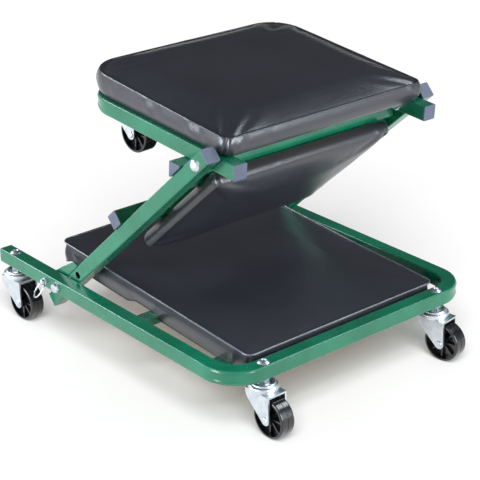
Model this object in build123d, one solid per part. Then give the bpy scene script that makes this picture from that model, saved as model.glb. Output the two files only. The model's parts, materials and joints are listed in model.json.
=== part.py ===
from build123d import *
import os
from math import asin, atan2, cos, degrees, radians, sin, sqrt, tan

# Rolling mechanic seat. Lengths in millimetres, angles in degrees.
# X runs across, Y from the front to the back, Z up from the floor.

# Square steel tube shared by the three frames
tube = 20.0
tube_wall = 1.5
tube_round = 2.0

# Base frame: a U lying flat, closed at the front, open at the back
base_width = 421.5
base_length = 499.6
base_bend = 42.0
caster_height = 73.5

# Crushed outer wall of the bends
dip_depth = 3.0
dip_radius = 10.0
dip_shift = 12.0
dip_arc = 90.0

# Cross pieces that carry the pad of the base
bar_wide = 20.0
bar_deep = 10.0
bar_wall = 1.5
base_bar_at = 215.0
strap_wide = 25.0
strap_thick = 2.0
strap_at = 70.0

# Middle frame: two straight tubes leaning forward from the lower pivot
pivot_inset = 137.6
lean = 42.4
mid_below = 62.0
mid_above = 391.5
upper_inset = 21.5
leg_gap = 1.3
mid_bar_at = 168.0
mid_bar_low = 64.0
mid_bar_high = 33.0

# Seat frame: a U with its open ends at the front
seat_gap = 1.05
seat_tilt = 3.53
seat_front = 44.1
seat_length = 300.0
seat_bend = 44.0
seat_hole_at = 28.0
seat_hole_radius = 2.2
seat_bar_front = 66.0
seat_bar_back = 65.9

# Stop bar under the seat legs, notched where it meets the middle tubes
stop_at = 36.0
stop_clear = 0.3

# Pivot bolts
bolt_radius = 4.0
run_play = 0.05
fit_play = 0.1
nut_flats = 13.0
nut_high = 6.5
head_flats = 13.0
head_high = 5.5
dome_radius = 8.0
dome_high = 5.0
washer_radius = 8.5
washer_play = 0.15

# Lock: a pin in each leg that enters the plate or the tube
lock_reach = 27.0
lock_hole = 5.1
plate_thick = 3.0
# Outline of the lock plate: place along the tube, drop below its back face
plate_outline = ((36.0, 0), (32.5, 8.0), (4.0, 14.0), (-17.0, 17.0), (-31.0, 15.0), (-34.0, 0))
plate_round = 5.0
barrel_radius = 5.0
barrel_out = 2.0
pin_radius = 3.25
pin_out = 7.5
pin_eye = 4.6
eye_radius = 1.6
eye_turn = 31.0
pin_point = 0.8
ring_radius = 12.0
ring_wire = 1.0
ring_sag = 0.2
ring_lean = 45.0

# Plastic end plugs
plug_head = 2.0
plug_edge = 0.8
plug_deep = 12.0
plug_play = 0.15

# Swivel casters, six alike
front_inset = 59.75
rear_inset = 24.1
seat_inset = 70.4
wheel_radius = 26.0
wheel_wide = 21.0
trail = 19.0
hub_radius = 7.0
hub_gap = 0.3
rim_radius = 22.8
rim_round = 2.0
web_thick = 5.0
spoke_wide = 2.2
spoke_sink = 4.0
spoke_count = 8
tread_line = 0.5
tread_deep = 0.4
axle_radius = 3.0
rivet_radius = 4.6
rivet_high = 1.8
fork_plate = 2.5
fork_wide = 30.5
fork_nose = 6.8
nose_set = 1.6
fork_back = 16.5
fork_drop = 9.0
fork_bulge = 16.0
race_radius = 19.3
race_cap = 5.6
race_ring = 1.2
race_gap = 0.4
race_lip = 3.2
bead_at = 13.4
bead_round = 2.4
ball_groove = 1.1
spacer_high = 8.0
stud_radius = 4.0
stud_head = 6.5
stud_head_high = 3.5
cap_radius = 8.0
cap_high = 3.5
cap_recess = 3.2
cap_recess_deep = 1.6
swivel_turns = {
    "front_left": 1.2,
    "front_right": 8.4,
    "back_left": 3.1,
    "back_right": -2.0,
    "seat_left": 2.5,
    "seat_right": -1.5,
}

# Pads: foam and cover over a plywood board, screwed from below
board_thick = 9.0
board_inset = 7.0
board_round = 14.0
cover_play = 0.3
screw_radius = 2.0
screw_head = 4.5
screw_head_high = 1.6
screw_bite = 7.0
screw_inset = 18.0

# Each pad: gap or inset at its sides, its front and back edges, corner, side height and crown
base_pad_gap = 5.05
base_pad_front = 25.0
base_pad_back_inset = 75.6
base_pad_round = 14.0
base_pad_side = 23.0
base_pad_crown = 9.0
mid_pad_gap = 0.5
mid_pad_low = 141.0
mid_pad_inset = 33.0
mid_pad_round = 14.0
mid_pad_lift = 4.0
mid_pad_side = 20.0
mid_pad_crown = 10.0
seat_pad_inset = 12.9
seat_pad_front = 24.5
seat_pad_back_inset = 4.9
seat_pad_front_round = 16.0
seat_pad_round = 34.0
seat_pad_side = 21.0
seat_pad_side_back = 27.0
seat_pad_crown = 13.0
pad_bulge = 3.0
pad_tuck = 1.6
side_steps = 6
crown_steps = 7

# Proportions of the pad crowns, the bolt heads, the bearing and the rivets
crown_reach_share = 0.55
corner_share = 0.25
dome_share = 0.6
crown_share = 0.46
ball_share = 0.76
rivet_share = 0.7

# Places that follow from the sizes
base_out = base_width / 2
leg_x = base_out - tube / 2
base_z = caster_height + tube / 2
mid_out = base_out - tube - leg_gap
mid_in = mid_out - tube
mid_x = mid_out - tube / 2
seat_out = mid_in - seat_gap
seat_in = seat_out - tube
seat_x = seat_out - tube / 2
pivot_at = base_length - pivot_inset
upper_at = mid_above - upper_inset
upper_y = pivot_at - upper_at * cos(radians(lean))
upper_z = base_z + upper_at * sin(radians(lean))
seat_back = seat_length - seat_front
pad_swell = pad_bulge - pad_tuck
base_pad_half = mid_in - base_pad_gap - pad_swell
base_pad_back = base_length - base_pad_back_inset
mid_pad_half = seat_in - mid_pad_gap - pad_swell
mid_pad_high = upper_at - mid_pad_inset
mid_bar_places = (mid_pad_low + mid_bar_low, mid_pad_high - mid_bar_high)
seat_pad_half = seat_out - seat_pad_inset
seat_pad_back = seat_back - seat_pad_back_inset
seat_bar_places = (seat_bar_front, seat_back - seat_bar_back)
seat_caster_x = seat_out - seat_inset
front_x = base_out - front_inset
rear_y = base_length - rear_inset
wheel_drop = caster_height - wheel_radius
strap_edge = strap_at - strap_wide / 2
bar_edge = base_bar_at - bar_wide / 2
pad_slope = degrees(atan2(bar_deep - strap_thick, bar_edge - strap_edge))

mid_plane = Plane(origin=(0, pivot_at, base_z), x_dir=(1, 0, 0),
                  z_dir=(0, -sin(radians(lean)), -cos(radians(lean))))
seat_plane = Plane(origin=(0, upper_y, upper_z), x_dir=(1, 0, 0),
                   z_dir=(0, -sin(radians(seat_tilt)), cos(radians(seat_tilt))))
base_pad_plane = Plane(origin=(0, strap_edge, caster_height + strap_thick), x_dir=(1, 0, 0),
                       z_dir=(0, -sin(radians(pad_slope)), cos(radians(pad_slope))))

sides = (-1, 1)


def block(x0, x1, y0, y1, z0, z1):
    """Box between two corners."""
    box = Box(x1 - x0, y1 - y0, z1 - z0)
    return Pos((x0 + x1) / 2, (y0 + y1) / 2, (z0 + z1) / 2) * box


def rod(radius, x0, x1, y=0, z=0):
    """Cylinder along X."""
    return Pos((x0 + x1) / 2, y, z) * Rot(0, 90, 0) * Cylinder(radius, abs(x1 - x0))


def post(radius, z0, z1, x=0, y=0):
    """Upright cylinder."""
    return Pos(x, y, (z0 + z1) / 2) * Cylinder(radius, z1 - z0)


def hex_rod(flats, x0, x1, y=0, z=0):
    """Hexagonal bar along X."""
    face = Plane.YZ * RegularPolygon(flats / 2, 6, major_radius=False)
    return Pos(min(x0, x1), y, z) * extrude(face, abs(x1 - x0))


def dome(radius, high):
    """Spherical cap on the XY plane."""
    ball = (radius ** 2 + high ** 2) / (2 * high)
    turn = asin(radius / ball) / 2
    middle = (ball * sin(turn), high - ball + ball * cos(turn))
    edge = ThreePointArc((radius, 0), middle, (0, high))
    face = Plane.XZ * make_face(edge + Polyline((0, high), (0, 0), (radius, 0)))
    return revolve(face, Axis.Z)


def both(shape):
    """Left and right copies of a shape that is made on the right."""
    return Compound(children=[shape, mirror(shape, Plane.YZ)])


def group(shapes):
    """Several separate solids as one shape."""
    return Compound(children=[solid for shape in shapes for solid in shape.solids()])


def place(plane, shape):
    """Moves a shape from the frame of a plane to the frame of the object."""
    return plane.location * shape


def tube_section(plane, across, deep, corner):
    """Rounded rectangle on a plane."""
    return plane * RectangleRounded(across, deep, corner)


def swept(path, inset):
    """Square bar along a path, inset from the tube's outer faces."""
    start = Plane(origin=path @ 0, x_dir=(0, 0, 1), z_dir=path % 0)
    size = tube - 2 * inset
    return sweep(tube_section(start, size, size, tube_round - inset / 2), path=path)


def straight_tube(length, corner=tube_round):
    """Hollow square tube from the origin along Y."""
    start = Plane(origin=(0, 0, 0), x_dir=(1, 0, 0), z_dir=(0, 1, 0))
    bore = tube - 2 * tube_wall
    outer = extrude(tube_section(start, tube, tube, corner), length)
    return outer - extrude(tube_section(start, bore, bore, corner - tube_wall / 2), length)


def bend_dips(half, bend, grow):
    """Rings that crush the outer walls of the two bends of a frame."""
    outer = bend + tube / 2
    shift = dip_shift * sqrt(1 / 2)
    major = outer - dip_depth + dip_radius + dip_shift
    ring = Torus(major, dip_radius + grow, major_angle=dip_arc)
    return both(Pos(half - bend - shift, bend + shift, 0) * Rot(0, 0, -dip_arc) * ring)


def bent_frame(half, length, bend):
    """U of hollow tube: closed at Y 0 on its centre line, legs along Y."""
    corners = ((half, length), (half, 0), (-half, 0), (-half, length))
    path = FilletPolyline(*corners, radius=bend)
    outer = swept(path, 0) - bend_dips(half, bend, 0)
    bore = swept(path, tube_wall) - bend_dips(half, bend, tube_wall)
    return outer - bore


def end_plug():
    """Plug for a tube end that faces up: cap above, shank below."""
    cap = extrude(RectangleRounded(tube, tube, tube_round), plug_head)
    cap = fillet(cap.faces().sort_by(Axis.Z)[-1].edges(), plug_edge)
    inner = tube - 2 * tube_wall - 2 * plug_play
    shank = extrude(RectangleRounded(inner, inner, tube_round - tube_wall / 2), -plug_deep)
    return cap + shank


# Base frame

def base_frame():
    frame = Pos(0, tube / 2, base_z) * bent_frame(leg_x, base_length - tube / 2, base_bend)
    hole = stud_radius + fit_play
    low, top = caster_height, caster_height + tube
    for side in sides:
        frame -= post(hole, low, top, side * front_x, tube / 2)
        frame -= post(hole, low, top, side * leg_x, rear_y)
        inner, outer = side * (leg_x - tube / 2), side * base_out
        frame -= rod(bolt_radius + fit_play, inner, outer, pivot_at, base_z)
        frame -= rod(barrel_radius + fit_play, inner, outer, pivot_at + lock_reach, base_z)
    return frame


def base_crossbar():
    half = leg_x - tube / 2
    front, back = base_bar_at - bar_wide / 2, base_bar_at + bar_wide / 2
    low, top = caster_height, caster_height + bar_deep
    bar = block(-half, half, front, back, low, top)
    bore = block(-half, half, front + bar_wall, back - bar_wall, low + bar_wall, top - bar_wall)
    return bar - bore - base_screw_holes()


def base_front_strap():
    half = leg_x - tube / 2
    front, back = strap_at - strap_wide / 2, strap_at + strap_wide / 2
    strap = block(-half, half, front, back, caster_height, caster_height + strap_thick)
    return strap - base_screw_holes()


def base_end_plugs():
    plug = Pos(leg_x, base_length, base_z) * Rot(-90, 0, 0) * end_plug()
    return both(plug)


# Pivots

def pivot_bolt_lower():
    """Hex bolt through the leg of the base and the middle tube."""
    head = hex_rod(head_flats, base_out, base_out + head_high)
    crown = Pos(base_out, 0, 0) * Rot(0, 90, 0) * Cone(
        head_flats * dome_share, head_flats * crown_share, head_high,
        align=(Align.CENTER, Align.CENTER, Align.MIN))
    tip = mid_in - washer_play - nut_high
    return (head & crown) + rod(bolt_radius, tip, base_out)


def nut(x_outer, flats=nut_flats):
    """Hex nut on a bolt along X, its bearing face outward."""
    body = hex_rod(flats, x_outer - nut_high, x_outer)
    return body - rod(bolt_radius, x_outer - nut_high, x_outer)


def washer(x0, x1):
    """Washer in the gap between two frames."""
    disc = rod(washer_radius, x0 + washer_play, x1 - washer_play)
    return disc - rod(bolt_radius + run_play, x0, x1)


def lower_pivot_bolts():
    return both(Pos(0, pivot_at, base_z) * pivot_bolt_lower())


def lower_pivot_nuts():
    return both(Pos(0, pivot_at, base_z) * nut(mid_in - washer_play))


def lower_pivot_washers():
    return both(Pos(0, pivot_at, base_z) * washer(mid_out, leg_x - tube / 2))


def upper_pivot_bolts():
    """Domed bolts through the middle tubes and the legs of the seat."""
    head = Pos(mid_out, upper_at, 0) * Rot(0, 90, 0) * dome(dome_radius, dome_high)
    tip = seat_in - washer_play - nut_high
    return place(mid_plane, both(head + rod(bolt_radius, tip, mid_out, upper_at)))


def upper_pivot_nuts():
    return place(mid_plane, both(Pos(0, upper_at, 0) * nut(seat_in - washer_play)))


def upper_pivot_washers():
    return place(mid_plane, both(Pos(0, upper_at, 0) * washer(seat_out, mid_in)))


# Lock

def lock_barrels():
    inner, outer = leg_x - tube / 2, base_out + barrel_out
    sleeve = rod(barrel_radius, inner, outer) - rod(pin_radius + run_play, inner, outer)
    return both(Pos(0, pivot_at + lock_reach, base_z) * sleeve)


def lock_pin():
    """Pin of the right side, with an eye for the ring."""
    inner, outer = leg_x - tube / 2 + fit_play, base_out + pin_out
    pin = rod(pin_radius, inner, outer)
    pin = chamfer(pin.edges().filter_by(GeomType.CIRCLE), pin_point)
    eye = Pos(base_out + pin_eye, 0, 0) * Rot(90 - eye_turn, 0, 0) * Cylinder(eye_radius, 4 * pin_radius)
    return Pos(0, pivot_at + lock_reach, base_z) * (pin - eye)


def pull_ring():
    """Wire ring of the right side, leaning outward from the eye."""
    ring = Pos(0, 0, -ring_radius + ring_sag) * Rot(0, 90, 0) * Torus(ring_radius, ring_wire)
    ring = Rot(-eye_turn, 0, 0) * Rot(0, -ring_lean, 0) * ring
    return Pos(base_out + pin_eye, pivot_at + lock_reach, base_z) * ring


def lock_plates():
    """Plates on the back faces of the middle tubes, with the second lock hole."""
    turn = radians(180 - lean)
    hole_y, hole_z = lock_reach * cos(turn), -lock_reach * sin(turn)
    outline = [(along, -tube / 2 - drop) for along, drop in plate_outline]
    sketch = Plane.YZ * make_face(Polyline(*outline, close=True))
    plate = Pos(mid_out - plate_thick, 0, 0) * extrude(sketch, plate_thick)
    low = plate.edges().filter_by(Axis.X).sort_by(Axis.Z)[:-2]
    plate = fillet(low, plate_round)
    plate -= rod(lock_hole, mid_out - plate_thick, mid_out, hole_y, hole_z)
    return place(mid_plane, both(plate))


# Middle frame

def middle_tube():
    """Right tube, with its pivot bores and lock hole."""
    bar = Pos(mid_x, -mid_below, 0) * straight_tube(mid_below + mid_above)
    bar -= rod(bolt_radius + run_play, mid_in, mid_out)
    bar -= rod(bolt_radius + fit_play, mid_in, mid_out, upper_at)
    bar -= rod(lock_hole, mid_x, mid_out, lock_reach)
    return place(mid_plane, bar)


def middle_crossbar():
    """Tube lying across the back faces of the two middle tubes."""
    half = mid_out
    section = Plane(origin=(-half, mid_bar_at, -tube), x_dir=(0, 1, 0), z_dir=(1, 0, 0))
    bore = tube - 2 * tube_wall
    bar = extrude(tube_section(section, tube, tube, tube_round), 2 * half)
    bar -= extrude(tube_section(section, bore, bore, tube_round - tube_wall / 2), 2 * half)
    return place(mid_plane, bar)


def middle_crossbar_plugs():
    plug = Pos(mid_out, mid_bar_at, -tube) * Rot(0, 90, 0) * end_plug()
    return place(mid_plane, both(plug))


def middle_tube_plugs():
    upper = Pos(mid_x, mid_above, 0) * Rot(-90, 0, 0) * end_plug()
    lower = Pos(mid_x, -mid_below, 0) * Rot(90, 0, 0) * end_plug()
    return place(mid_plane, group([both(upper), both(lower)]))


# Seat frame

def seat_frame():
    half = seat_x
    frame = bent_frame(half, seat_length - tube / 2, seat_bend)
    frame = Pos(0, seat_back - tube / 2, 0) * Rot(0, 0, 180) * frame
    hole = stud_radius + fit_play
    for side in sides:
        frame -= post(hole, -tube / 2, tube / 2, side * seat_caster_x, seat_back - tube / 2)
        inner, outer = side * seat_in, side * seat_out
        frame -= rod(bolt_radius + run_play, inner, outer)
        frame -= post(seat_hole_radius, 0, tube / 2, side * half, seat_hole_at)
    return place(seat_plane, frame)


def stop_notch(grow):
    """Space in front of the middle tubes' back faces, beside the seat legs."""
    reach = 4 * tube
    side = seat_out - grow
    space = block(side, mid_out + grow, -reach, reach, -reach, tube / 2 + stop_clear + grow)
    return Rot(-lean - seat_tilt, 0, 0) * space


def stop_bar():
    """Tube under the seat legs whose notched ends rest on the middle tubes."""
    front, back = stop_at - tube / 2, stop_at + tube / 2
    low, top = -tube / 2 - tube, -tube / 2
    bar = block(0, mid_out, front, back, low, top)
    bore = block(0, mid_out, front + tube_wall, back - tube_wall, low + tube_wall, top - tube_wall)
    bore -= stop_notch(tube_wall)
    half_bar = bar - stop_notch(0) - bore
    return place(seat_plane, half_bar + mirror(half_bar, Plane.YZ))


def stop_bar_plugs():
    """Triangular caps on the notched ends."""
    front, back = stop_at - tube / 2, stop_at + tube / 2
    low, top = -tube / 2 - tube, -tube / 2
    wedge = block(seat_out, mid_out, front, back, low, top) - stop_notch(0)
    end = wedge.faces().sort_by(Axis.X)[-1]
    cap = extrude(end, plug_head, dir=(1, 0, 0))
    cap = chamfer(cap.faces().sort_by(Axis.X)[-1].edges(), plug_edge)
    return place(seat_plane, both(cap))


def seat_end_plugs():
    plug = Pos(seat_x, -seat_front, 0) * Rot(90, 0, 0) * end_plug()
    return place(seat_plane, both(plug))


# Casters, drawn about the swivel axis with the tube's underside at Z 0

def caster_bolt(above):
    """Stud through the tube, with a domed head on top and a flange inside the fork."""
    low = -spacer_high - race_cap - race_gap - race_ring - fork_plate
    head = Pos(0, 0, above) * dome(cap_radius, cap_high)
    head -= post(cap_recess, above + cap_high - cap_recess_deep, above + cap_high)
    flange = low - washer_play
    stud = post(stud_radius, flange, above) + post(stud_head, flange - stud_head_high, flange)
    return head + stud


def spacer_nut():
    """Hex nut between the tube and the raceway."""
    body = extrude(RegularPolygon(nut_flats / 2, 6, major_radius=False), -spacer_high)
    return body - post(stud_radius, -spacer_high, 0)


def raceway():
    """Upper cup of the swivel bearing: rim turned down, a pressed bead round the nut, a ball groove below."""
    top = -spacer_high
    low = top - race_cap
    cup = post(race_radius, low, top)
    cup = fillet(cup.edges().filter_by(GeomType.CIRCLE).sort_by(Axis.Z)[-1:], race_lip)
    bead = Pos(0, 0, top) * Torus(bead_at, bead_round)
    groove = Pos(0, 0, low) * Torus(race_radius * ball_share, ball_groove)
    return cup + bead - groove - post(stud_radius, low, top)


def fork():
    """Bent steel fork with the lower bearing ring on its top plate."""
    ring_top = -spacer_high - race_cap - race_gap
    top = ring_top - race_ring
    low = top - fork_plate
    nose = nose_set - trail - fork_nose
    plate = block(-fork_wide / 2, fork_wide / 2, nose, fork_back, low, top)
    ring = post(race_radius - race_ring, top, ring_top)
    cheek = make_face(cheek_outline(nose, top))
    swell = cheek.vertices().sort_by_distance((fork_back, top - fork_drop))[0]
    cheek = Plane.YZ * fillet(swell, fork_bulge)
    cheeks = []
    for side in sides:
        start = side * fork_wide / 2 - (fork_plate if side > 0 else 0)
        cheeks.append(Pos(start, 0, 0) * extrude(cheek, fork_plate))
    body = plate + ring + cheeks[0] + cheeks[1]
    body -= rod(axle_radius, -fork_wide / 2, fork_wide / 2, -trail, -wheel_drop)
    return body - post(stud_radius + run_play, low, ring_top + race_gap)


def cheek_outline(nose, top):
    """Side of the fork: steep at the nose, swelling at the back, round at the axle."""
    axle_y, axle_z = -trail, -wheel_drop
    low = top - fork_drop
    span_y, span_z = fork_back - axle_y, low - axle_z
    reach = sqrt(span_y ** 2 + span_z ** 2)
    angle = degrees(atan2(span_z, span_y)) - 90 + degrees(atan2(fork_nose, sqrt(reach ** 2 - fork_nose ** 2)))
    touch_y = axle_y + fork_nose * cos(radians(angle))
    touch_z = axle_z + fork_nose * sin(radians(angle))
    round_off = CenterArc((axle_y, axle_z), fork_nose, 180, angle + 180)
    rest = Polyline((touch_y, touch_z), (fork_back, low), (fork_back, top), (nose, top),
                    (axle_y - fork_nose, axle_z))
    return round_off + rest


def axle():
    """Riveted axle across the fork."""
    half = fork_wide / 2
    pin = rod(axle_radius, -half, half, -trail, -wheel_drop)
    for side in sides:
        head = rod(rivet_radius, side * half, side * (half + rivet_high), -trail, -wheel_drop)
        outer = head.faces().sort_by(Axis.X)[-1 if side > 0 else 0]
        pin += fillet(outer.edges(), rivet_high * rivet_share)
    return pin


def wheel():
    """Moulded wheel: rounded tread, centre line, spoked recess on both sides."""
    half = wheel_wide / 2
    body = fillet(rod(wheel_radius, -half, half).edges().filter_by(GeomType.CIRCLE), rim_round)
    body -= rod(wheel_radius, -tread_line, tread_line) - rod(wheel_radius - tread_deep, -half, half)
    for side in sides:
        recess = rod(rim_radius, side * web_thick / 2, side * half) - rod(hub_radius, -half, half)
        for number in range(spoke_count):
            spoke = block(spoke_sink - half, half - spoke_sink, -spoke_wide / 2, spoke_wide / 2, 0, rim_radius)
            recess -= Rot(number * 360 / spoke_count, 0, 0) * spoke
        body -= recess
    inner = fork_wide / 2 - fork_plate - hub_gap
    body += rod(hub_radius, -inner, inner)
    body -= rod(axle_radius + run_play, -inner, inner)
    return Pos(0, -trail, -wheel_drop) * body


def caster_seat(name):
    """Place of a caster's swivel axis on the underside of its tube."""
    side = -1 if name.endswith("left") else 1
    turn = Rot(0, 0, swivel_turns[name])
    if name.startswith("front"):
        return Pos(side * front_x, tube / 2, caster_height) * turn
    if name.startswith("back"):
        return Pos(side * leg_x, rear_y, caster_height) * turn
    spot = Pos(side * seat_caster_x, seat_back - tube / 2, -tube / 2)
    return seat_plane.location * spot * turn


def on_casters(names, shape):
    """The same shape on several swivel axes."""
    return group([caster_seat(name) * shape for name in names])


# Pads, drawn with the board's underside at Z 0 and the frame along Y

def pad_outline(half, front, back, front_round, back_round):
    """Rectangle with its own corner radius at the front and at the back."""
    face = Rectangle(2 * half, back - front)
    face = fillet(face.vertices().sort_by(Axis.Y)[:2], front_round)
    face = fillet(face.vertices().sort_by(Axis.Y)[-2:], back_round)
    return face


def pad_layer(half, front, back, rounds, inset, front_z, back_z):
    """One outline of a pad on a plane that may slope from front to back."""
    run, rise = back - front, back_z - front_z
    turn = degrees(atan2(rise, run))
    long = sqrt(run ** 2 + rise ** 2) / 2 - inset
    face = pad_outline(half - inset, -long, long, *rounds)
    return Pos(0, (front + back) / 2, (front_z + back_z) / 2) * Rot(turn, 0, 0) * face


def cushion(half, front, back, rounds, side_front, side_back, crown):
    """Foam pad: tucked bottom edge, bulging side, drawn-in seam, crowned top."""
    profile = []
    for step in range(side_steps + 1):
        turn = radians(180 * step / side_steps)
        profile.append((pad_tuck - pad_bulge * sin(turn), step / side_steps, 0))
    reach = crown_reach_share * min(half, (back - front) / 2)
    for step in range(1, crown_steps + 1):
        turn = radians(90 * step / crown_steps)
        profile.append((pad_tuck + reach * (1 - cos(turn)), 1, crown * sin(turn)))
    sections = []
    for inset, share, rise in profile:
        wider = [corner + max(inset, 0) * corner_share for corner in rounds]
        sections.append(pad_layer(half, front, back, wider, inset,
                                  cover_play + side_front * share + rise,
                                  cover_play + side_back * share + rise))
    return loft(sections, ruled=True) - board(half, front, back, rounds, cover_play)


def board(half, front, back, rounds, grow):
    """Plywood board inside the underside of a pad."""
    inset = board_inset + pad_tuck - grow
    inner = [max(corner - board_inset, board_round) + grow for corner in rounds]
    face = pad_outline(half - inset, front + inset, back - inset, *inner)
    face = Pos(0, (front + back) / 2, 0) * face
    return extrude(face, board_thick + grow)


def screw(x, y, low, top):
    """Pan-head screw from the face at Z low up to Z top."""
    head = post(screw_head, low - screw_head_high, low, x, y)
    head = fillet(head.faces().sort_by(Axis.Z)[0].edges(), screw_head_high * rivet_share)
    return head + post(screw_radius, low, top, x, y)


def screw_spots(half, rows):
    """Screw places in pairs along X at each row."""
    return [(side * (half - board_inset - screw_inset), row) for row in rows for side in sides]


def holes(spots, low, top):
    """Screw holes from Z low to Z top."""
    return group([post(screw_radius + fit_play, low, top, x, y) for x, y in spots])


# Pad of the base

base_pad_size = (base_pad_half, base_pad_front - strap_edge, base_pad_back - strap_edge,
                 (base_pad_round, base_pad_round))
base_spots = screw_spots(base_pad_half, (strap_at, base_bar_at))


def board_low(row):
    """Height of the board's underside above the floor at a screw row."""
    return caster_height + strap_thick + (row - strap_edge) * tan(radians(pad_slope))


def base_pad():
    return place(base_pad_plane, cushion(*base_pad_size, base_pad_side, base_pad_side, base_pad_crown))


def base_pad_board():
    plate = place(base_pad_plane, board(*base_pad_size, 0))
    return plate - holes(base_spots, caster_height, board_low(base_bar_at) + screw_bite)


def base_pad_screws():
    return group([screw(x, y, caster_height, board_low(y) + screw_bite) for x, y in base_spots])


def base_screw_holes():
    return holes(base_spots, caster_height, caster_height + bar_deep)


# Pad of the middle frame

mid_pad_size = (mid_pad_half, mid_pad_low, mid_pad_high, (mid_pad_round, mid_pad_round))
mid_spots = screw_spots(mid_pad_half, mid_bar_places)


def on_middle(shape):
    """Moves a shape drawn under the middle pad's board to its place."""
    return place(mid_plane, Pos(0, 0, mid_pad_lift) * shape)


def middle_pad():
    return on_middle(cushion(*mid_pad_size, mid_pad_side, mid_pad_side, mid_pad_crown))


def middle_pad_board():
    return on_middle(board(*mid_pad_size, 0) - holes(mid_spots, 0, screw_bite))


def middle_pad_screws():
    return on_middle(group([screw(x, y, -bar_deep, screw_bite) for x, y in mid_spots]))


# Pad of the seat, on top of the seat frame's tubes

seat_pad_size = (seat_pad_half, -seat_pad_front, seat_pad_back, (seat_pad_front_round, seat_pad_round))
seat_spots = screw_spots(seat_pad_half, seat_bar_places)


def bolt_room():
    """Pockets in the pad over the heads of the seat's caster bolts."""
    top, spot = cap_high + cover_play, seat_back - tube / 2
    return both(post(cap_radius + cover_play, 0, top, seat_caster_x, spot))


def on_seat(shape):
    """Moves a shape drawn on top of the seat frame to its place."""
    return place(seat_plane, Pos(0, 0, tube / 2) * shape)


def seat_pad():
    soft = cushion(*seat_pad_size, seat_pad_side, seat_pad_side_back, seat_pad_crown)
    return on_seat(soft - bolt_room())


def seat_pad_board():
    return on_seat(board(*seat_pad_size, 0) - bolt_room() - holes(seat_spots, 0, screw_bite))


def seat_pad_screws():
    return on_seat(group([screw(x, y, -bar_deep, screw_bite) for x, y in seat_spots]))


def pad_bars(half, places, spots):
    """Flat tubes across a frame, with their tops under the board."""
    bars = []
    for at in places:
        front, back = at - bar_wide / 2, at + bar_wide / 2
        bar = block(-half, half, front, back, -bar_deep, 0)
        bar -= block(-half, half, front + bar_wall, back - bar_wall, bar_wall - bar_deep, -bar_wall)
        bars.append(bar - holes(spots, -bar_deep, 0))
    return group(bars)


def middle_pad_bars():
    return on_middle(pad_bars(mid_in, mid_bar_places, mid_spots))


def seat_pad_bars():
    return on_seat(pad_bars(seat_in, seat_bar_places, seat_spots))


base_casters = ("front_left", "front_right", "back_left", "back_right")
seat_casters = ("seat_left", "seat_right")

nodes = {
    "base_frame": base_frame(),
    "base_crossbar": base_crossbar(),
    "base_front_strap": base_front_strap(),
    "base_end_plugs": base_end_plugs(),
    "base_pad_board": base_pad_board(),
    "base_pad": base_pad(),
    "base_pad_screws": base_pad_screws(),
    "base_caster_bolts": on_casters(base_casters, caster_bolt(tube)),
    "base_spacer_nuts": on_casters(base_casters, spacer_nut()),
    "base_raceways": on_casters(base_casters, raceway()),
    "lower_pivot_bolts": lower_pivot_bolts(),
    "lower_pivot_nuts": lower_pivot_nuts(),
    "lower_pivot_washers": lower_pivot_washers(),
    "lock_barrels": lock_barrels(),
    "middle_tube_right": middle_tube(),
    "middle_tube_left": mirror(middle_tube(), Plane.YZ),
    "middle_crossbar": middle_crossbar(),
    "middle_crossbar_plugs": middle_crossbar_plugs(),
    "middle_tube_plugs": middle_tube_plugs(),
    "lock_plates": lock_plates(),
    "upper_pivot_bolts": upper_pivot_bolts(),
    "upper_pivot_nuts": upper_pivot_nuts(),
    "upper_pivot_washers": upper_pivot_washers(),
    "middle_pad_bars": middle_pad_bars(),
    "middle_pad_board": middle_pad_board(),
    "middle_pad": middle_pad(),
    "middle_pad_screws": middle_pad_screws(),
    "seat_frame": seat_frame(),
    "stop_bar": stop_bar(),
    "stop_bar_plugs": stop_bar_plugs(),
    "seat_end_plugs": seat_end_plugs(),
    "seat_pad_bars": seat_pad_bars(),
    "seat_pad_board": seat_pad_board(),
    "seat_pad": seat_pad(),
    "seat_pad_screws": seat_pad_screws(),
    "seat_caster_bolts": on_casters(seat_casters, caster_bolt(tube)),
    "seat_spacer_nuts": on_casters(seat_casters, spacer_nut()),
    "seat_raceways": on_casters(seat_casters, raceway()),
    "lock_pin_right": lock_pin(),
    "lock_pin_left": mirror(lock_pin(), Plane.YZ),
    "pull_ring_right": pull_ring(),
    "pull_ring_left": mirror(pull_ring(), Plane.YZ),
}
for name in base_casters + seat_casters:
    nodes[name + "_fork"] = on_casters([name], fork())
    nodes[name + "_axle"] = on_casters([name], axle())
    nodes[name + "_wheel"] = on_casters([name], wheel())

# The origin is on the floor, in the middle of the object's outline
whole = Compound(children=[solid for shape in nodes.values() for solid in shape.solids()])
size = whole.bounding_box()
middle = Pos(0, -(size.min.Y + size.max.Y) / 2, 0)

os.makedirs("parts", exist_ok=True)
for name, shape in nodes.items():
    export_step(middle * shape, "parts/" + name + ".step")
print("origin", middle.position.Y, "pad slope", pad_slope)
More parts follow.
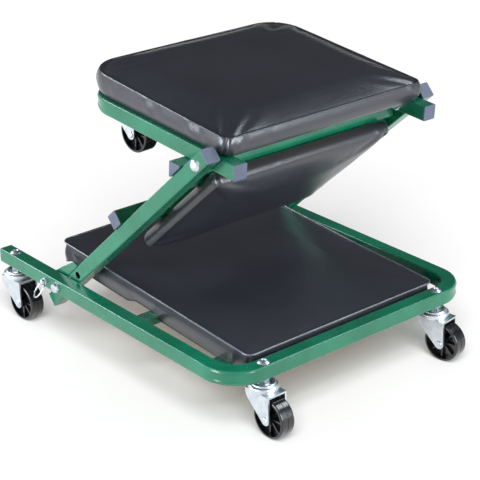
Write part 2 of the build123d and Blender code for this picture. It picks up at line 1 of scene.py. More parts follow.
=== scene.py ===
"""Rolling mechanic seat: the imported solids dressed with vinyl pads, coated tube, zinc casters and plastic plugs."""
import json
import math
import bpy
import numpy as np
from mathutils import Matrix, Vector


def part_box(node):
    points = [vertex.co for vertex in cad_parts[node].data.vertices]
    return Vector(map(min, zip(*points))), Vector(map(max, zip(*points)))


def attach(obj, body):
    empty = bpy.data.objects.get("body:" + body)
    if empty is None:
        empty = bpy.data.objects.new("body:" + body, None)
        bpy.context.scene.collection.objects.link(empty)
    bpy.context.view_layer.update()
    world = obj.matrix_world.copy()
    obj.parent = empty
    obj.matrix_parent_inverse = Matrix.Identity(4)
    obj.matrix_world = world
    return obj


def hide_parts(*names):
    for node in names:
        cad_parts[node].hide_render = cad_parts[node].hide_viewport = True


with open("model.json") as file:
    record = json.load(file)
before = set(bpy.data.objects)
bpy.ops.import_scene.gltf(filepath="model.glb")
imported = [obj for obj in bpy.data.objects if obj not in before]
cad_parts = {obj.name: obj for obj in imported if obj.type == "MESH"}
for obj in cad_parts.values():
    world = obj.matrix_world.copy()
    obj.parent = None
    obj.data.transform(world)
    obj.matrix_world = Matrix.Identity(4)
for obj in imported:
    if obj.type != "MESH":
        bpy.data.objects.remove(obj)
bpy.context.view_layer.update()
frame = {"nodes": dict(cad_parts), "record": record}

nodes = frame["nodes"]
MM = 0.001


# Colour and nodes

def linear(code):
    """sRGB hex colour as linear RGBA: each channel c is (c + 0.055) / 1.055 to the power 2.4, or c / 12.92 when it is
    dark."""
    values = [int(code[i:i + 2], 16) / 255 for i in (1, 3, 5)]
    return [v / 12.92 if v <= 0.04045 else ((v + 0.055) / 1.055) ** 2.4 for v in values] + [1.0]


def add(tree, kind, settings=None, inputs=None, links=None):
    """Adds a node: settings are its properties, inputs its socket values, links the output each socket takes."""
    made = tree.nodes.new(kind)
    for key, value in (settings or {}).items():
        setattr(made, key, value)
    for key, value in (inputs or {}).items():
        made.inputs[key].default_value = value
    for key, source in (links or {}).items():
        tree.links.new(source, made.inputs[key])
    return made


def blank(name, inputs):
    """A new material: its tree, its surface shader and its Object coordinates."""
    material = bpy.data.materials.new(name)
    material.use_nodes = True
    tree = material.node_tree
    shader = tree.nodes["Principled BSDF"]
    for key, value in inputs.items():
        shader.inputs[key].default_value = value
    where = add(tree, "ShaderNodeTexCoord").outputs["Object"]
    return material, tree, shader, where


def coated_tube():
    """Powder coat, sprayed dry and baked: a dense green with orange peel of 1.5 mm, gloss that varies over 14 mm, and
    a paler green in patches of 56 mm."""
    material, tree, shader, where = blank("powder_coated_steel", {
        "IOR": 1.5, "Coat Weight": 0.4, "Coat Roughness": 0.12})
    dust = add(tree, "ShaderNodeTexNoise", inputs={"Scale": 18.0, "Detail": 5.0}, links={"Vector": where})
    patch = add(tree, "ShaderNodeMapRange", inputs={"From Min": 0.3, "From Max": 0.7},
                links={"Value": dust.outputs["Fac"]})
    colour = add(tree, "ShaderNodeMix", {"data_type": "RGBA"}, {6: linear("#085F44"), 7: linear("#0D7254")},
                 {0: patch.outputs["Result"]})
    tree.links.new(colour.outputs[2], shader.inputs["Base Color"])
    wear = add(tree, "ShaderNodeTexNoise", inputs={"Scale": 70.0, "Detail": 3.0}, links={"Vector": where})
    gloss = add(tree, "ShaderNodeMapRange", inputs={"To Min": 0.2, "To Max": 0.34},
                links={"Value": wear.outputs["Fac"]})
    tree.links.new(gloss.outputs["Result"], shader.inputs["Roughness"])
    peel = add(tree, "ShaderNodeTexNoise", inputs={"Scale": 650.0, "Detail": 2.0}, links={"Vector": where})
    skin = add(tree, "ShaderNodeBump", inputs={"Strength": 0.35, "Distance": 0.0002},
               links={"Height": peel.outputs["Fac"]})
    tree.links.new(skin.outputs["Normal"], shader.inputs["Normal"])
    return material


def zinc_plate():
    """Bright zinc on pressed steel: a blue-white metal with cloudy spangle of 11 mm and tooling marks of 1 mm."""
    material, tree, shader, where = blank("zinc_plated_steel", {"Metallic": 1.0})
    clouds = add(tree, "ShaderNodeTexNoise", inputs={"Scale": 90.0, "Detail": 4.0, "Roughness": 0.6},
                 links={"Vector": where})
    spangle = add(tree, "ShaderNodeMapRange", inputs={"From Min": 0.3, "From Max": 0.7},
                  links={"Value": clouds.outputs["Fac"]})
    colour = add(tree, "ShaderNodeMix", {"data_type": "RGBA"}, {6: linear("#C6CCD4"), 7: linear("#E4E9EF")},
                 {0: spangle.outputs["Result"]})
    tree.links.new(colour.outputs[2], shader.inputs["Base Color"])
    fine = add(tree, "ShaderNodeTexNoise", inputs={"Scale": 400.0, "Detail": 3.0}, links={"Vector": where})
    gloss = add(tree, "ShaderNodeMapRange", inputs={"To Min": 0.28, "To Max": 0.42},
                links={"Value": fine.outputs["Fac"]})
    tree.links.new(gloss.outputs["Result"], shader.inputs["Roughness"])
    marks = add(tree, "ShaderNodeTexNoise", inputs={"Scale": 900.0, "Detail": 3.0}, links={"Vector": where})
    skin = add(tree, "ShaderNodeBump", inputs={"Strength": 0.1, "Distance": 0.00004},
               links={"Height": marks.outputs["Fac"]})
    tree.links.new(skin.outputs["Normal"], shader.inputs["Normal"])
    return material


def moulded_black():
    """Black nylon, injection moulded: a hard gloss with faint flow marks of 8 mm and duller scuffs of 4 mm."""
    material, tree, shader, where = blank("moulded_black_nylon", {
        "IOR": 1.53, "Coat Weight": 0.5, "Coat Roughness": 0.1})
    flow = add(tree, "ShaderNodeTexNoise", inputs={"Scale": 120.0, "Detail": 5.0, "Roughness": 0.6},
               links={"Vector": where})
    colour = add(tree, "ShaderNodeMix", {"data_type": "RGBA"}, {6: linear("#08080A"), 7: linear("#16161B")},
                 {0: flow.outputs["Fac"]})
    tree.links.new(colour.outputs[2], shader.inputs["Base Color"])
    scuff = add(tree, "ShaderNodeTexNoise", inputs={"Scale": 260.0, "Detail": 4.0}, links={"Vector": where})
    gloss = add(tree, "ShaderNodeMapRange", inputs={"To Min": 0.14, "To Max": 0.34},
                links={"Value": scuff.outputs["Fac"]})
    tree.links.new(gloss.outputs["Result"], shader.inputs["Roughness"])
    skin = add(tree, "ShaderNodeBump", inputs={"Strength": 0.15, "Distance": 0.0001},
               links={"Height": flow.outputs["Fac"]})
    tree.links.new(skin.outputs["Normal"], shader.inputs["Normal"])
    return material


def moulded_grey():
    """Grey polyethylene, moulded in a spark-eroded tool: a cool matt grey with an even grain of 0.7 mm, as coarse as
    it needs to be to show."""
    material, tree, shader, where = blank("moulded_grey_polyethylene", {"IOR": 1.5})
    cloud = add(tree, "ShaderNodeTexNoise", inputs={"Scale": 150.0, "Detail": 4.0}, links={"Vector": where})
    colour = add(tree, "ShaderNodeMix", {"data_type": "RGBA"}, {6: linear("#474D5E"), 7: linear("#5D6477")},
                 {0: cloud.outputs["Fac"]})
    tree.links.new(colour.outputs[2], shader.inputs["Base Color"])
    fine = add(tree, "ShaderNodeTexNoise", inputs={"Scale": 700.0, "Detail": 2.0}, links={"Vector": where})
    gloss = add(tree, "ShaderNodeMapRange", inputs={"To Min": 0.4, "To Max": 0.58},
                links={"Value": fine.outputs["Fac"]})
    tree.links.new(gloss.outputs["Result"], shader.inputs["Roughness"])
    grain = add(tree, "ShaderNodeTexNoise", inputs={"Scale": 1400.0, "Detail": 2.0}, links={"Vector": where})
    skin = add(tree, "ShaderNodeBump", inputs={"Strength": 0.35, "Distance": 0.00008},
               links={"Height": grain.outputs["Fac"]})
    tree.links.new(skin.outputs["Normal"], shader.inputs["Normal"])
    return material


def plywood():
    """Rotary-cut poplar plywood, left raw: pale, dull, with streaks 4.5 mm wide and 76 mm long along the board."""
    material, tree, shader, where = blank("raw_poplar_plywood", {"Roughness": 0.75})
    along = add(tree, "ShaderNodeMapping", inputs={"Scale": (1.0, 0.06, 1.0)}, links={"Vector": where})
    grain = add(tree, "ShaderNodeTexNoise", inputs={"Scale": 220.0, "Detail": 5.0, "Roughness": 0.6},
                links={"Vector": along.outputs["Vector"]})
    lines = add(tree, "ShaderNodeMapRange", inputs={"From Min": 0.3, "From Max": 0.7},
                links={"Value": grain.outputs["Fac"]})
    colour = add(tree, "ShaderNodeMix", {"data_type": "RGBA"}, {6: linear("#A98659"), 7: linear("#D6BA8E")},
                 {0: lines.outputs["Result"]})
    tree.links.new(colour.outputs[2], shader.inputs["Base Color"])
    skin = add(tree, "ShaderNodeBump", inputs={"Strength": 0.3, "Distance": 0.0002},
               links={"Height": grain.outputs["Fac"]})
    tree.links.new(skin.outputs["Normal"], shader.inputs["Normal"])
    return material


def vinyl():
    """Calendered PVC leathercloth, embossed: blue-black, with a soft gloss over a pebble grain of 2 mm, as coarse as
    it needs to be to show, and faint drag lines 2 mm wide and 8 mm long across it."""
    material, tree, shader, where = blank("embossed_vinyl", {
        "IOR": 1.54, "Coat Weight": 0.45, "Coat Roughness": 0.3})
    shade = add(tree, "ShaderNodeTexNoise", inputs={"Scale": 12.0, "Detail": 4.0}, links={"Vector": where})
    colour = add(tree, "ShaderNodeMix", {"data_type": "RGBA"}, {6: linear("#24242A"), 7: linear("#323239")},
                 {0: shade.outputs["Fac"]})
    tree.links.new(colour.outputs[2], shader.inputs["Base Color"])
    handled = add(tree, "ShaderNodeTexNoise", inputs={"Scale": 45.0, "Detail": 5.0}, links={"Vector": where})
    gloss = add(tree, "ShaderNodeMapRange", inputs={"To Min": 0.24, "To Max": 0.38},
                links={"Value": handled.outputs["Fac"]})
    tree.links.new(gloss.outputs["Result"], shader.inputs["Roughness"])
    cells = add(tree, "ShaderNodeTexVoronoi", inputs={"Scale": 480.0, "Randomness": 1.0},
                links={"Vector": where})
    grain = add(tree, "ShaderNodeBump", inputs={"Strength": 0.5, "Distance": 0.0003},
                links={"Height": cells.outputs["Distance"]})
    across = add(tree, "ShaderNodeMapping", inputs={"Scale": (0.25, 1.0, 1.0)}, links={"Vector": where})
    drag = add(tree, "ShaderNodeTexNoise", inputs={"Scale": 500.0, "Detail": 3.0, "Roughness": 0.6},
               links={"Vector": across.outputs["Vector"]})
    skin = add(tree, "ShaderNodeBump", inputs={"Strength": 0.2, "Distance": 0.00012},
               links={"Height": drag.outputs["Fac"], "Normal": grain.outputs["Normal"]})
    tree.links.new(skin.outputs["Normal"], shader.inputs["Normal"])
    return material


def piping_vinyl_with_painted_highlight():
    """Extruded vinyl piping: the same cloth stretched round a cord, so smoother and glossier than the pad. Its paler
    grey is a painted highlight, standing in for the bright line of light along the seam.
    """
    material, tree, shader, where = blank("extruded_vinyl_piping_painted_highlight", {
        "IOR": 1.54, "Coat Weight": 1.0, "Coat Roughness": 0.15})
    shade = add(tree, "ShaderNodeTexNoise", inputs={"Scale": 60.0, "Detail": 3.0}, links={"Vector": where})
    # greys paler than the pad's vinyl: a painted highlight for the bright line along the top seam
    colour = add(tree, "ShaderNodeMix", {"data_type": "RGBA"}, {6: linear("#44444C"), 7: linear("#6A6A74")},
                 {0: shade.outputs["Fac"]})
    tree.links.new(colour.outputs[2], shader.inputs["Base Color"])
    gloss = add(tree, "ShaderNodeMapRange", inputs={"To Min": 0.22, "To Max": 0.36},
                links={"Value": shade.outputs["Fac"]})
    tree.links.new(gloss.outputs["Result"], shader.inputs["Roughness"])
    return material


# the piping finish is paler than the pad's vinyl as a painted highlight along the seam
finishes = {"piping_cord_painted_highlight": piping_vinyl_with_painted_highlight(), "green_paint": coated_tube(), "zinc": zinc_plate(),
            "black_plastic": moulded_black(), "grey_plastic": moulded_grey(), "vinyl_cover": vinyl(),
            "plywood": plywood()}

for part in frame["record"]["subparts"]:
    mesh = nodes[part["node"]].data
    mesh.materials.clear()
    mesh.materials.append(finishes[part["material_slot"]])


# Frames of the three pads: origin, then the directions across, along and up, in the row frame

hinges = {joint["name"]: joint for joint in frame["record"]["behaviour"]["joints"]}
PIVOT, UPPER = (np.array(hinges[name]["pos_m"]) for name in ("middle_fold", "seat_fold"))
# lean of the middle section, tilt of the seat, slope of the base pad
LEAN = math.atan2(UPPER[2] - PIVOT[2], PIVOT[1] - UPPER[1])
TILT, SLOPE = math.radians(3.53), math.radians(3.1045)


def frame_of(origin, turn, lift=0.0):
    """4 x 4 matrix of a frame turned about X by an angle, then lifted along its own up direction."""
    c, s = math.cos(turn), math.sin(turn)
    matrix = np.eye(4)
    matrix[:3, 1], matrix[:3, 2] = (0, c, s), (0, -s, c)
    matrix[:3, 3] = np.array(origin) + lift * matrix[:3, 2]
    return matrix


BASE_PAD = frame_of(PIVOT - np.array([0.0, 304.5, 8.0]) * MM, SLOPE)
MIDDLE_PAD = frame_of(PIVOT, math.pi - LEAN, 4 * MM)
SEAT_PAD = frame_of(UPPER, TILT, 10 * MM)


def placed(points, matrix):
    """Points of a local frame in the row frame: rotated, then shifted."""
    return points @ matrix[:3, :3].T + matrix[:3, 3]


def piece(name, points, faces, material, body):
    """A smooth mesh object at the origin that rides on a body."""
    mesh = bpy.data.meshes.new(name)
    mesh.from_pydata(points.tolist(), [], faces.tolist())
    mesh.polygons.foreach_set("use_smooth", [True] * len(mesh.polygons))
    mesh.materials.append(material)
    made = bpy.data.objects.new(name, mesh)
    bpy.context.scene.collection.objects.link(made)
    if body:
        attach(made, body)
    return made


# Pads, in millimetres

GRID_STEP = 4.5
TUCK = 2.4          # how far the whole pad is drawn in before it is filled
GRIP = 0.85         # how firmly seam and pinch are pinned, 1 is fully
PRESSURE = 4.0
FRAMES = 20


def outline(a, b, half, reach, front_round, back_round):
    """Unit square edge (a, b) carried to a rounded rectangle: the nearest point of the rectangle shrunk by the
    corner radius, moved out by that radius."""
    corner = np.where(b < 0, front_round, back_round)
    x, y = half * a, reach * b
    qx = np.clip(x, corner - half, half - corner)
    qy = np.clip(y, corner - reach, reach - corner)
    away = np.hypot(x - qx, y - qy)
    away = np.where(away < 1e-9, 1.0, away)
    return qx + corner * (x - qx) / away, qy + corner * (y - qy) / away


def hump(offset, width):
    """Bell curve: e to the power of minus the square of offset over width."""
    return np.exp(-(offset / width) ** 2)


class Pad:
    """Grid of a box pad in millimetres. Top and underside are (a, b) grids in -1..1 whose rings follow the rounded
    outline: ring r is the outline times r. Between them runs a band of levels, from the top seam at 0 to the hem at
    1. Round the outline a place is t in 0..4, one unit a side, from the front left corner to the right."""
    pinch = 0.74
    levels = (0.0, 0.06, 0.14, 0.25, 0.38, 0.5, 0.6, 0.68, pinch, 0.8, 0.88, 0.95, 1.0)
    flat_edge = 0.14
    top_level, under_level = -1.0, 2.0      # of points on the two faces, outside the band's 0 to 1
    hem_height = 0.3

    def __init__(self, half, front, back, rounds, sides, crown, square, folds, seed, round_side=True, hem=()):
        self.half, self.reach, self.middle = half, (back - front) / 2, (front + back) / 2
        self.rounds, self.sides, self.crown, self.square = rounds, sides, crown, square
        self.round_side, self.hem = round_side, hem
        self.na, self.nb = int(2 * half / GRID_STEP), int(2 * self.reach / GRID_STEP)
        chance = np.random.default_rng(seed)
        small = [(chance.uniform(0, 4), chance.uniform(-9, 9), chance.uniform(3.0, 7.0), chance.uniform(-0.45, 0.45))
                 for _ in range(14)]
        self.folds = list(folds) + small

    def seam(self, y):
        """Height of the top seam: straight from its front height to its back height."""
        share = (y / self.reach + 1) / 2
        return self.sides[0] + (self.sides[1] - self.sides[0]) * share

    def plan(self, a, b, inset=0.0):
        """Place of grid point (a, b): its ring's outline, drawn in by an inset."""
        ring = np.maximum(np.abs(a), np.abs(b))
        safe = np.where(ring < 1e-9, 1.0, ring)
        x, y = outline(a / safe, b / safe, self.half - inset, self.reach - inset, *self.rounds)
        return x * ring, y * ring, ring

    def side_inset(self, level, tuck, bulge):
        """Inset of a level. A round side is one belly, half a sine from seam to hem. A flat side drops straight from
        an edge 1.5 mm proud of it."""
        if self.round_side:
            return tuck - bulge * math.sin(math.pi * level) ** 0.7
        return tuck + 1.5 * min(1.0, level / self.flat_edge) - 0.5 * bulge * math.sin(math.pi * level)

    def bottom(self, y):
        """Height of the hem along the pad: it hangs below the board, and lifts over each bar that the pad rests on,
        fully up to 3 mm beside the bar and not at all past 23 mm."""
        if not self.hem:
            return np.full_like(y, self.hem_height)
        depth, spans = self.hem
        clear, fade = 3.0, 20.0
        lift = np.zeros_like(y)
        for low, high in spans:
            beyond = np.maximum(low - y, y - high)
            lift = np.maximum(lift, 1 - np.clip((beyond - clear) / fade, 0, 1))
        return self.hem_height - depth * (1 - lift ** 2 * (3 - 2 * lift))

    def build(self, tuck, bulge):
        """Points and faces, and each point's place round the outline, level and ring. The grid lines crowd toward the
        edge as a sine does. The top is the seam plus a dome, crown times 1 - ring to a high power; a round side
        carries it 5 mm down over the edge, as e to the power of minus the distance over 5 mm. The underside hangs
        down to the hem from 0.955 of the ring to 0.985."""
        crowd = math.pi / 2 * 0.82
        roll = 5.0
        a = np.sin(np.linspace(-1, 1, self.na + 1) * crowd) / math.sin(crowd)
        b = np.sin(np.linspace(-1, 1, self.nb + 1) * crowd) / math.sin(crowd)
        ga, gb = np.meshgrid(a, b, indexing="ij")
        x, y, ring = self.plan(ga, gb, tuck)
        dome = self.crown * (1 - ring ** self.square) * (1 - 0.25 * ring ** 2)
        top = np.stack([x, y, self.seam(y) + dome], -1)
        if self.round_side:
            top[..., 2] -= roll * np.exp((ring - 1) * self.half / roll)
        hang = np.clip((ring - 0.955) / 0.03, 0, 1)
        low = np.stack([x, y, self.hem_height + (self.bottom(y) - self.hem_height) * hang], -1)
        index = np.arange(ga.size).reshape(ga.shape)
        edge = np.concatenate([index[:-1, 0], index[-1, :-1], index[:0:-1, -1], index[0, :0:-1]])
        ea, eb = ga.ravel()[edge], gb.ravel()[edge]
        rings = []
        for level in self.levels[1:-1]:
            ex, ey, _ = self.plan(ea, eb, self.side_inset(level, tuck, bulge))
            base = self.bottom(ey)
            rings.append(np.stack([ex, ey, base + (self.seam(ey) - base) * (1 - level)], -1))
        count, around = index.size, len(edge)
        points = np.concatenate([top.reshape(-1, 3)] + rings + [low.reshape(-1, 3)])
        bottom = index + count + len(rings) * around
        quads = (index[:-1, :-1], index[1:, :-1], index[1:, 1:], index[:-1, 1:])
        under = (bottom[:-1, :-1], bottom[:-1, 1:], bottom[1:, 1:], bottom[1:, :-1])
        faces = [np.stack(quads, -1).reshape(-1, 4), np.stack(under, -1).reshape(-1, 4)]
        loops = [edge] + [count + k * around + np.arange(around) for k in range(len(rings))]
        loops.append(edge + bottom[0, 0])
        for upper, lower in zip(loops[:-1], loops[1:]):
            faces.append(np.stack([upper, lower, np.roll(lower, -1), np.roll(upper, -1)], -1))
        square = self.around(ga.ravel(), gb.ravel())
        self.place = np.concatenate([square] + [square[edge]] * len(rings) + [square])
        self.level = np.concatenate([np.full(count, self.top_level)]
                                    + [np.full(around, level) for level in self.levels[1:-1]]
                                    + [np.full(count, self.under_level)])
        self.ring = np.concatenate([ring.ravel(), np.ones(len(rings) * around), ring.ravel()])
        self.loops = loops
        points[:, 1] += self.middle
        return points, np.concatenate(faces)

    def around(self, a, b):
        """Place t in 0..4 of the outline point that (a, b) points at."""
        front, right, back = (b <= -np.abs(a)), (a >= np.abs(b)), (b >= np.abs(a))
        ring = np.maximum(np.maximum(np.abs(a), np.abs(b)), 1e-9)
        u, v = (a / ring + 1) / 2, (b / ring + 1) / 2
        return np.select([front, right, back], [u, 1 + v, 3 - u], 4 - v)

    def creases(self):
        """Outward offset: at each corner a pleat of three bells, -2.4, 1.1 and 0.6 mm, that leans with height;
        slanting folds on the sides, a bell times half a sine from seam to hem, whose ends pucker the top and fade as
        e to the power of minus the distance inward over 10 mm; and two slow sines of 0.4 and 0.2 mm round the seam
        for the unevenness of the foam."""
        span = np.where((self.place % 2) < 1, 2 * self.half, 2 * self.reach)
        side = (self.level > 0) & (self.level < 1.5)
        top = self.level < 0
        height = np.clip(self.level, 0, 1)
        inward = (1 - self.ring) * self.half
        move = np.zeros(len(self.place))
        for corner in range(4):
            gap = ((self.place - corner + 2) % 4 - 2) * span + 9.0 * (height - 0.35)
            pleat = -2.4 * hump(gap, 2.6) + 1.1 * hump(gap - 6.5, 4.0) + 0.6 * hump(gap + 7.0, 3.5)
            move += np.where(side, pleat * np.clip(height * 3, 0, 1) * np.clip((1.1 - height) * 4, 0, 1), 0.0)
        for t, slant, width, lift in self.folds:
            gap = ((self.place - t + 2) % 4 - 2) * span
            belly = np.sin(np.pi * height ** 0.8)
            move += np.where(side, lift * hump(gap - slant * (height - 0.4), width) * belly, 0)
            ends = 0.12 * lift * hump(gap - slant * inward / 20, width * 1.4) * np.exp(-inward / 10)
            move += np.where(top, ends * np.clip(inward / 3, 0, 1), 0)
        slow = np.sin(self.place * 7.1 + 1.3) * 0.4 + np.sin(self.place * 12.7) * 0.2
        return move + np.where(top, slow * self.ring ** 3, 0.0)

    def held(self, grip):
        """How firmly each point is pinned: the underside and hem fully, the seam and the pinch by the grip."""
        weight = np.where(self.level > 1.5, 1.0, 0.0)
        weight[self.loops[0]] = grip
        weight[np.abs(self.level - self.pinch) < 0.01] = grip
        weight[self.loops[-1]] = 1.0
        return weight


def inflate(made, weight, cap):
    """Cloth filled from inside: pressure swells the mesh while pinned points hold, and no point moves further than
    the cap. The result replaces the mesh's points."""
    group = made.vertex_groups.new(name="held")
    for value in np.unique(np.round(weight, 3)):
        if value > 0:
            group.add(np.nonzero(np.abs(weight - value) < 1e-3)[0].tolist(), float(value), "REPLACE")
    start = np.empty(len(made.data.vertices) * 3)
    made.data.vertices.foreach_get("co", start)
    cloth = made.modifiers.new("fill", "CLOTH")
    settings = cloth.settings
    settings.quality, settings.mass = 5, 0.3
    settings.tension_stiffness = settings.compression_stiffness = 25
    settings.shear_stiffness, settings.bending_stiffness = 12, 1.5
    settings.use_pressure, settings.uniform_pressure_force = True, PRESSURE
    settings.shrink_min = settings.shrink_max = 0.0
    settings.vertex_group_mass = "held"
    settings.effector_weights.gravity = 0.0
    cloth.collision_settings.use_collision = False
    cloth.point_cache.frame_start, cloth.point_cache.frame_end = 1, FRAMES
    scene = bpy.context.scene
    for number in range(1, FRAMES + 1):
        scene.frame_set(number)
    swollen = made.evaluated_get(bpy.context.evaluated_depsgraph_get())
    final = np.empty_like(start)
    swollen.data.vertices.foreach_get("co", final)
    made.modifiers.remove(cloth)
    made.vertex_groups.remove(group)
    scene.frame_set(1)
    move = (final - start).reshape(-1, 3)
    length = np.linalg.norm(move, axis=1, keepdims=True)
    move *= np.minimum(1.0, cap / np.maximum(length, 1e-9))
    made.data.vertices.foreach_set("co", (start.reshape(-1, 3) + move).ravel())
    made.data.update()


def press(made, move):
    """Moves each point along its normal by an offset in metres."""
    count = len(made.data.vertices)
    points, normals = np.empty(count * 3), np.empty(count * 3)
    made.data.vertices.foreach_get("co", points)
    made.data.vertex_normals.foreach_get("vector", normals)
    made.data.vertices.foreach_set("co", points + normals * np.repeat(move, 3))
    made.data.update()


def make_pad(name, node, pad, matrix, body, bulge, cap):
    """One finished pad in place of its CAD node: grid, cloth filled from inside, folds, one subdivision. The bulge of
    its sides and the cap on the cloth's movement are in millimetres."""
    points, faces = pad.build(TUCK, bulge)
    made = piece(name, placed(points * MM, matrix), faces, finishes["vinyl_cover"], None)
    inflate(made, pad.held(GRIP), cap * MM)
    press(made, pad.creases() * MM)
    fine = made.modifiers.new("fine", "SUBSURF")
    fine.levels = fine.render_levels = 1
    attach(made, body)
    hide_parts(node)
    return made


def piping(name, pad, cover, matrix, radius, body):
    """Cord sewn into the top seam: a circle of ten points carried along the seam's finished points, across the seam's
    direction, its centre 0.3 radii out and up from the seam."""
    sides = 10
    points = np.empty(len(cover.data.vertices) * 3)
    cover.data.vertices.foreach_get("co", points)
    path = points.reshape(-1, 3)[pad.loops[0]]
    path = (np.roll(path, 1, 0) + 2 * path + np.roll(path, -1, 0)) / 4
    along = np.roll(path, -1, 0) - np.roll(path, 1, 0)
    along /= np.linalg.norm(along, axis=1, keepdims=True)
    out = np.cross(along, matrix[:3, 2])
    up = np.cross(out, along)
    turn = np.linspace(0, 2 * np.pi, sides + 1)[:-1]
    centre = path + 0.3 * radius * (out + up)
    circle = np.cos(turn)[None, :, None] * out[:, None] + np.sin(turn)[None, :, None] * up[:, None]
    rings = centre[:, None] + radius * circle
    index = np.arange(len(path) * sides).reshape(-1, sides)
    beyond = np.roll(index, -1, 0)
    faces = np.stack([index, beyond, np.roll(beyond, -1, 1), np.roll(index, -1, 1)], -1).reshape(-1, 4)
    # the cord wears the piping vinyl, whose paler colour is a painted highlight along the seam
    made = piece(name, rings.reshape(-1, 3), faces, finishes["piping_cord_painted_highlight"], body)
    return made


# larger folds: place round the outline, lean, width and lift in millimetres
seat_folds = [(3.47, 8, 5, 1.3), (3.53, -6, 4, -0.9), (3.76, 12, 6, 1.2), (3.83, 7, 4, -1.0), (0.93, 8, 5, 1.0),
              (0.07, -8, 5, 0.9), (3.22, 9, 6, 0.7), (1.4, 8, 6, 0.8), (2.5, -7, 6, 0.8)]
base_folds = [(0.05, 8, 5, 0.9), (0.95, -8, 5, 0.8), (3.08, 9, 6, 0.9), (3.93, -7, 5, 0.9), (1.1, 8, 6, 0.7)]
middle_folds = [(2.08, 8, 5, 0.8), (2.9, -7, 5, 0.8), (3.2, 9, 6, 0.8), (3.75, -7, 6, 0.7)]
# the strap and the crossbar under the base pad, along it
bars = [(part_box(bar)[0][1] / MM - BASE_PAD[1, 3] / MM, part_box(bar)[1][1] / MM - BASE_PAD[1, 3] / MM)
        for bar in ("base_front_strap", "base_crossbar")]
base_pad = Pad(163, -32.5, 366.5, rounds=(10.0, 12.0), sides=(23, 23), crown=5, square=12, folds=base_folds, seed=7,
               round_side=False, hem=(6.5, bars))
middle_pad = Pad(146.5, 141, 337, rounds=(10.0, 10.0), sides=(21, 21), crown=8, square=8, folds=middle_folds, seed=11)
seat_pad = Pad(164, -25.5, 254, rounds=(14.0, 44.0), sides=(28, 35), crown=8, square=8, folds=seat_folds, seed=5)
base_cover = make_pad("base_pad_cover", "base_pad", base_pad, BASE_PAD, "base", bulge=2.6, cap=3)
piping("base_pad_piping", base_pad, base_cover, BASE_PAD, 1.3 * MM, "base")
make_pad("middle_pad_cover", "middle_pad", middle_pad, MIDDLE_PAD, "middle", bulge=4.5, cap=4)
make_pad("seat_pad_cover", "seat_pad", seat_pad, SEAT_PAD, "seat", bulge=4.5, cap=3)


# Crushed bends of the two frames

def crushed_bend(name, centre, side, back, outer, matrix, body):
    """Skin on the outer wall of a bend, on a grid of angle and height. Its radius is the wall's, less 0.12 mm, plus
    three bell-shaped ridges that fade with the square of the cosine toward the ends of the bend and in a straight
    line over the last 1.2 mm of height."""
    reach, face, sunk = 50.0, 9.2, 0.12
    angles, heights = np.radians(np.linspace(-reach, reach, 61)), np.linspace(-face, face, 57)
    angle, height = np.meshgrid(angles, heights, indexing="ij")
    ridges = 1.5 * hump(height - 6.3, 1.5) + 1.3 * hump(height + 6.0, 1.9) + 0.55 * hump(height + 0.4, 1.5)
    fade = np.cos(angle * 90 / reach) ** 2
    radius = outer - sunk + ridges * fade * np.clip((face - np.abs(height)) / 1.2, 0, 1)
    turn = math.atan2(1 if back else -1, side)
    x, y = centre[0] + radius * np.cos(angle + turn), centre[1] + radius * np.sin(angle + turn)
    points = np.stack([x, y, height], -1).reshape(-1, 3)
    index = np.arange(angle.size).reshape(angle.shape)
    faces = np.stack([index[:-1, :-1], index[1:, :-1], index[1:, 1:], index[:-1, 1:]], -1).reshape(-1, 4)
    made = piece(name, placed(points * MM, matrix), faces, finishes["green_paint"], None)
    wall = made.modifiers.new("wall", "SOLIDIFY")
    wall.thickness, wall.offset = 0.5 * MM, -1.0
    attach(made, body)
    return made


BASE_TUBE = frame_of(PIVOT - np.array([0.0, 362.0, 0.0]) * MM, 0.0)
SEAT_TUBE = frame_of(UPPER, TILT)
for side, word in ((-1, "left"), (1, "right")):
    crushed_bend("base_bend_" + word, (side * 158.75, 52), side, False, 52, BASE_TUBE, "base")
    crushed_bend("seat_bend_" + word, (side * 114.4, 201.9), side, True, 54, SEAT_TUBE, "seat")


# Camera, light and floor

def lit_by(name, sheet, state):
    """Collection that keeps a lamp off the floor sheet, or on it alone."""
    group = bpy.data.collections.new(name + "_lights")
    group.objects.link(sheet)
    group.collection_objects[0].light_linking.link_state = state
    return group


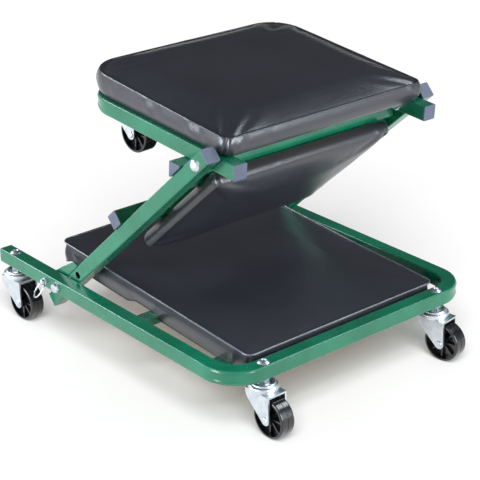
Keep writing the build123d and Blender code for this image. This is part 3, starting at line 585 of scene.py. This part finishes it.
def studio(sheet):
    """Camera where the photographer stood. Two low soft lights at the left and front and two strips light the seat;
    the floor has a broad light from above, for an even white with a soft shadow under the seat."""
    scene = bpy.context.scene
    scene.view_settings.view_transform = "Standard"
    eye = bpy.data.cameras.new("photo_camera")
    eye.lens, eye.sensor_width, eye.clip_start, eye.clip_end = 116.72, 36.0, 0.1, 20.0
    camera = bpy.data.objects.new("photo_camera", eye)
    camera.location = (-1.2436, -1.46161, 0.9875)
    camera.rotation_euler = (math.radians(90 - 23.95), math.radians(0.15), math.radians(-40.51))
    camera.rotation_mode = "XYZ"
    scene.collection.objects.link(camera)
    scene.camera = camera
    lamps = (("left_softbox", (-2.4, 0.5, 0.55), 1.5, 88.0), ("left_back_strip", (-1.2, 2.1, 1.5), 0.9, 38.0),
             ("front_softbox", (0.6, -2.4, 0.9), 1.4, 78.0), ("front_right_strip", (1.5, -0.8, 2.0), 0.8, 18.0))
    for name, place, size, power in lamps:
        light = bpy.data.lights.new(name, "AREA")
        light.shape, light.size, light.energy, light.color = "SQUARE", size, power, (0.84, 0.93, 1.0)
        lamp = bpy.data.objects.new(name, light)
        lamp.location = place
        away = np.array((0, 0, 0.2)) - np.array(place)
        lamp.rotation_euler = (math.acos(-away[2] / np.linalg.norm(away)), 0.0,
                               math.atan2(away[1], away[0]) - math.pi / 2)
        scene.collection.objects.link(lamp)
        lamp.light_linking.receiver_collection = lit_by(name, sheet, "EXCLUDE")
    over = bpy.data.lights.new("ceiling_scrim", "SUN")
    over.energy, over.angle = 3.1, math.radians(46)
    scrim = bpy.data.objects.new("ceiling_scrim", over)
    scrim.rotation_euler = (math.radians(42), 0, math.radians(-40.5))
    scene.collection.objects.link(scrim)
    scrim.light_linking.receiver_collection = lit_by("ceiling_scrim", sheet, "INCLUDE")
    world = bpy.data.worlds.new("white_surround")
    scene.world = world
    world.use_nodes = True
    tree = world.node_tree
    sky = tree.nodes["Background"]
    rays = add(tree, "ShaderNodeLightPath")
    seen = add(tree, "ShaderNodeMath", {"operation": "MAXIMUM"}, links={
        0: rays.outputs["Is Camera Ray"], 1: rays.outputs["Is Transmission Ray"]})
    # metal sees a white surround at the horizon and on the left, which fades to grey overhead and at the right back
    way = add(tree, "ShaderNodeTexCoord").outputs["Generated"]
    height = add(tree, "ShaderNodeVectorMath", {"operation": "DOT_PRODUCT"}, {1: (0.52, 0.42, 0.75)}, {0: way})
    fade = add(tree, "ShaderNodeMapRange", {"interpolation_type": "SMOOTHSTEP"}, {
        "From Min": -0.1, "From Max": 0.75, "To Min": 0.75, "To Max": 0.06}, {"Value": height.outputs["Value"]})
    glossy = add(tree, "ShaderNodeMath", {"operation": "MULTIPLY"}, links={
        0: rays.outputs["Is Glossy Ray"], 1: fade.outputs["Result"]})
    soft = add(tree, "ShaderNodeMath", {"operation": "MULTIPLY"}, {1: 0.3}, {0: rays.outputs["Is Diffuse Ray"]})
    level = add(tree, "ShaderNodeMath", {"operation": "MAXIMUM"},
                links={0: seen.outputs[0], 1: glossy.outputs[0]})
    power = add(tree, "ShaderNodeMath", {"operation": "MAXIMUM"},
                links={0: level.outputs[0], 1: soft.outputs[0]})
    tree.links.new(power.outputs[0], sky.inputs["Strength"])
    sky.inputs["Color"].default_value = (1, 1, 1, 1)


def floor():
    """Square white sheet 8 m wide: its shade is diffuse plus a little light of its own, so its shadow stays."""
    mesh = bpy.data.meshes.new("studio_floor")
    mesh.from_pydata([(-4, -4, 0), (4, -4, 0), (4, 4, 0), (-4, 4, 0)], [], [(0, 1, 2, 3)])
    sheet = bpy.data.objects.new("studio_floor", mesh)
    bpy.context.scene.collection.objects.link(sheet)
    material, tree, shader, where = blank("white_paper", {"Roughness": 0.9})
    tone = add(tree, "ShaderNodeTexNoise", inputs={"Scale": 3.0, "Detail": 2.0}, links={"Vector": where})
    colour = add(tree, "ShaderNodeMix", {"data_type": "RGBA"}, {6: linear("#F0F0F0"), 7: linear("#FBFBFB")},
                 {0: tone.outputs["Fac"]})
    tree.links.new(colour.outputs[2], shader.inputs["Base Color"])
    rays = add(tree, "ShaderNodeLightPath")
    seen = add(tree, "ShaderNodeMath", {"operation": "MAXIMUM"}, links={
        0: rays.outputs["Is Camera Ray"], 1: rays.outputs["Is Glossy Ray"]})
    glow = add(tree, "ShaderNodeMath", {"operation": "MULTIPLY"}, {1: 0.1}, {0: seen.outputs[0]})
    shader.inputs["Emission Color"].default_value = (1, 1, 1, 1)
    tree.links.new(glow.outputs[0], shader.inputs["Emission Strength"])
    mesh.materials.append(material)
    return sheet


studio(floor())

bpy.context.view_layer.update()
